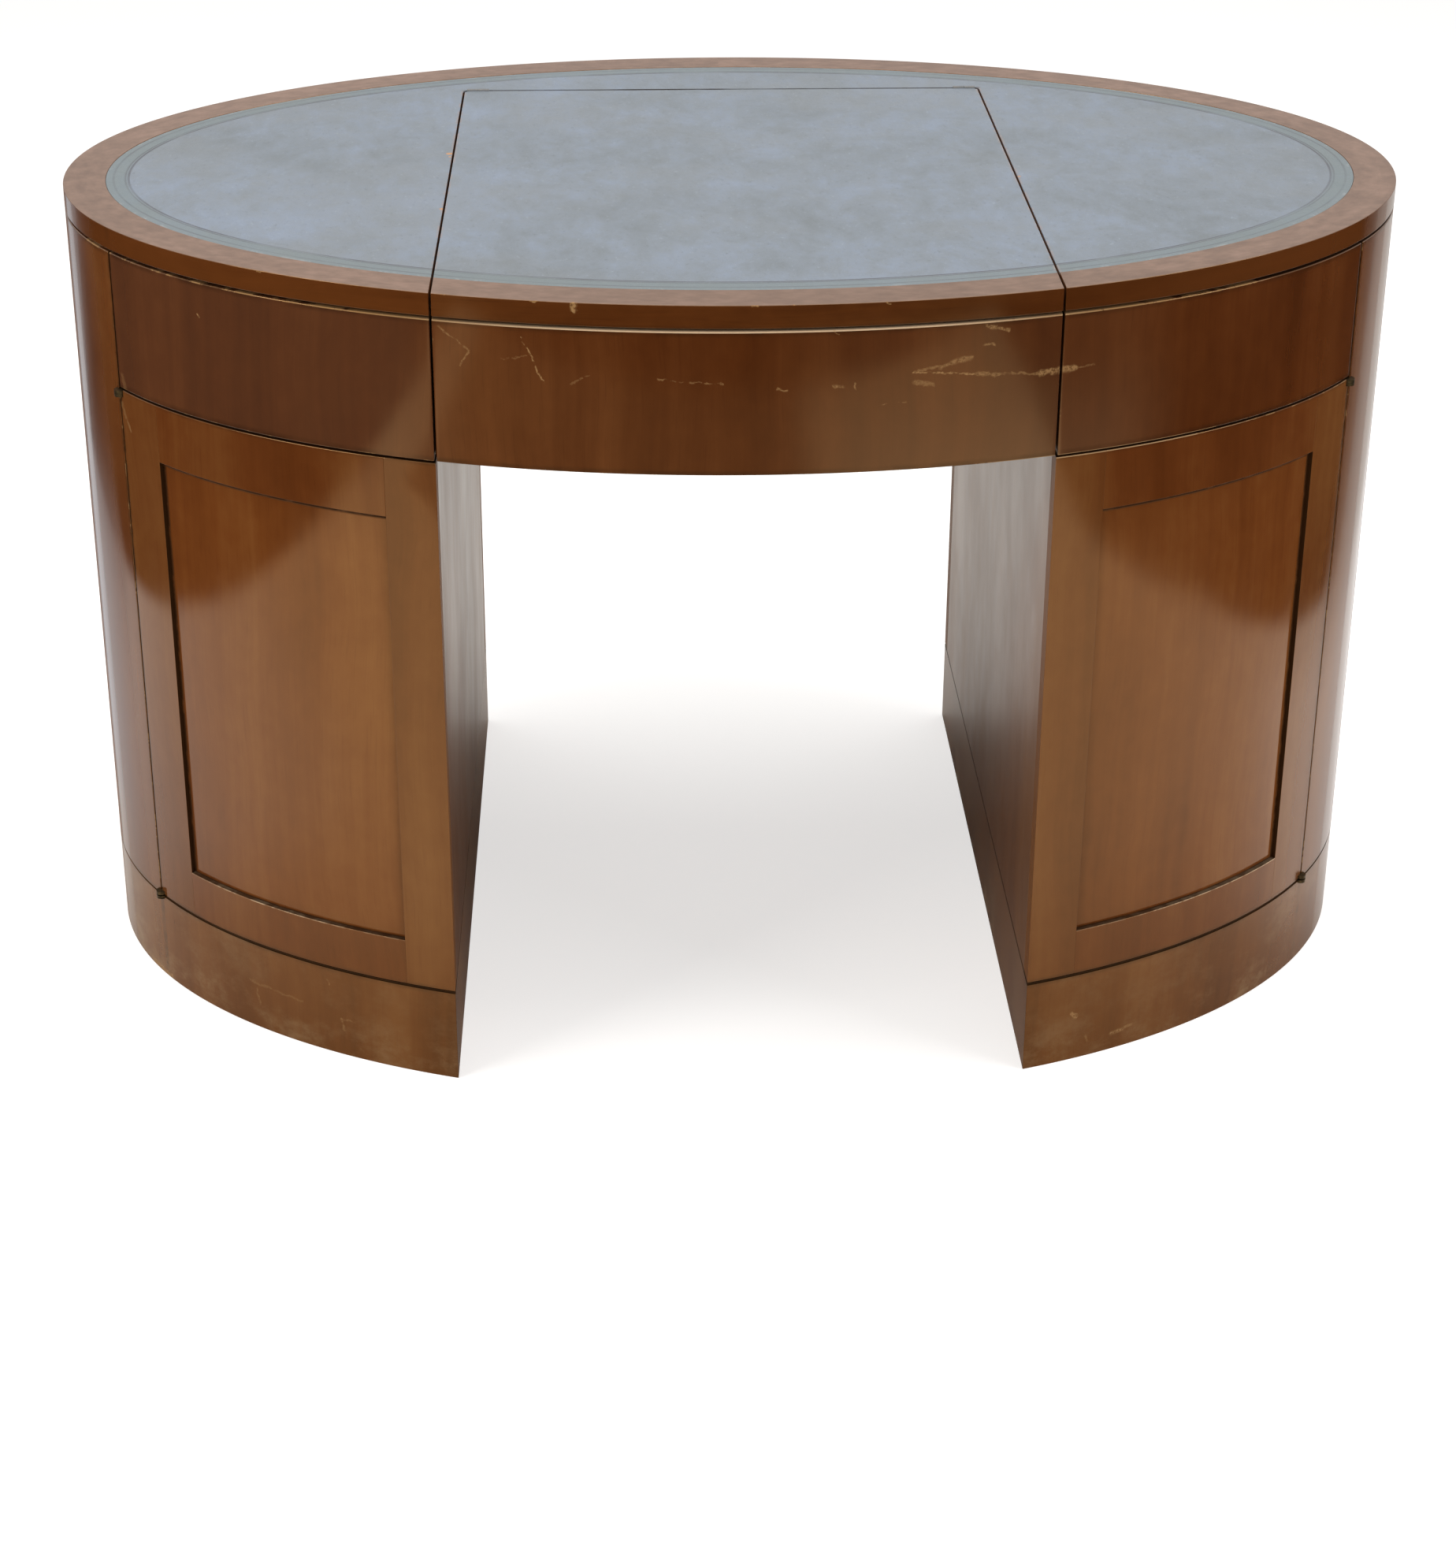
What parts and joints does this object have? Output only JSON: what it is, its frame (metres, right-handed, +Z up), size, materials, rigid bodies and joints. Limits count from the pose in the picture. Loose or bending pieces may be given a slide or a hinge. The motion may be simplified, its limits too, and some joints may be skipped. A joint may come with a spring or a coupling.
{
  "type": "oval pedestal desk",
  "caption": "Oval kneehole desk with an inset leather top, a lifting centre leaf, frieze drawers and curved panelled doors that swing open on both pedestals.",
  "frame": {"origin": "on the floor, under the middle of the oval", "axes": "+X to the right as the sitter sees it, along the oval's long axis; +Y away from the sitter, so the front is -Y; +Z up"},
  "size_m": [1.22, 0.764, 0.7615],
  "materials": {
    "mahogany": "red-brown mahogany veneer, gloss lacquer, worn at the arrises",
    "inner_wood": "plain oak and plywood, thin satin seal",
    "leather": "worn slate blue skiver with a blind-tooled border",
    "brass": "dark, tarnished"
  },
  "bodies": {
    "carcass": {"left_plinth": "mahogany", "left_floor_board": "inner_wood", "left_dust_board": "inner_wood", "left_knee_panel": "mahogany", "left_outer_shell": "mahogany", "left_shelf": "inner_wood", "left_shelf_cleats": "inner_wood", "left_top_rail": "inner_wood", "left_drawer_guide": "inner_wood", "left_centre_runner": "inner_wood", "left_lid_ledge": "inner_wood", "left_carcass_hinge_leaves": "brass", "right_plinth": "mahogany", "right_floor_board": "inner_wood", "right_dust_board": "inner_wood", "right_knee_panel": "mahogany", "right_outer_shell": "mahogany", "right_shelf": "inner_wood", "right_shelf_cleats": "inner_wood", "right_top_rail": "inner_wood", "right_drawer_guide": "inner_wood", "right_centre_runner": "inner_wood", "right_lid_ledge": "inner_wood", "right_carcass_hinge_leaves": "brass", "back_apron": "mahogany", "rear_rail": "inner_wood", "top_rim": "mahogany", "top_core": "inner_wood", "top_leather": "leather", "top_hinge_leaves": "brass"},
    "lid": {"lid_rim": "mahogany", "lid_core": "inner_wood", "lid_leather": "leather", "lid_hinge_leaves": "brass"},
    "centre_drawer": {"centre_drawer_front": "mahogany", "centre_drawer_left_side": "inner_wood", "centre_drawer_right_side": "inner_wood", "centre_drawer_back": "inner_wood", "centre_drawer_bottom": "inner_wood"},
    "left_drawer": {"left_drawer_front": "mahogany", "left_drawer_inner_side": "inner_wood", "left_drawer_outer_side": "inner_wood", "left_drawer_back": "inner_wood", "left_drawer_bottom": "inner_wood"},
    "left_door": {"left_door_stiles": "mahogany", "left_door_rails": "mahogany", "left_door_panel": "mahogany", "left_door_hinge_leaves": "brass"},
    "right_drawer": {"right_drawer_front": "mahogany", "right_drawer_inner_side": "inner_wood", "right_drawer_outer_side": "inner_wood", "right_drawer_back": "inner_wood", "right_drawer_bottom": "inner_wood"},
    "right_door": {"right_door_stiles": "mahogany", "right_door_rails": "mahogany", "right_door_panel": "mahogany", "right_door_hinge_leaves": "brass"}
  },
  "joints": [
    {"name": "lid_hinge", "type": "hinge", "parent": "carcass", "child": "lid", "pos_m": [0, 0.26, 0.7595], "axis": [-1, 0, 0], "range_deg": [0, 95]},
    {"name": "centre_drawer_slide", "type": "slide", "parent": "carcass", "child": "centre_drawer", "axis": [0, -1, 0], "range_m": [0, 0.38]},
    {"name": "left_drawer_slide", "type": "slide", "parent": "carcass", "child": "left_drawer", "axis": [0, -1, 0], "range_m": [0, 0.28]},
    {"name": "left_door_hinge", "type": "hinge", "parent": "carcass", "child": "left_door", "pos_m": [-0.547, -0.16907, 0.35], "axis": [0, 0, -1], "range_deg": [0, 100]},
    {"name": "right_drawer_slide", "type": "slide", "parent": "carcass", "child": "right_drawer", "axis": [0, -1, 0], "range_m": [0, 0.28]},
    {"name": "right_door_hinge", "type": "hinge", "parent": "carcass", "child": "right_door", "pos_m": [0.547, -0.16907, 0.35], "axis": [0, 0, 1], "range_deg": [0, 100]}
  ]
}
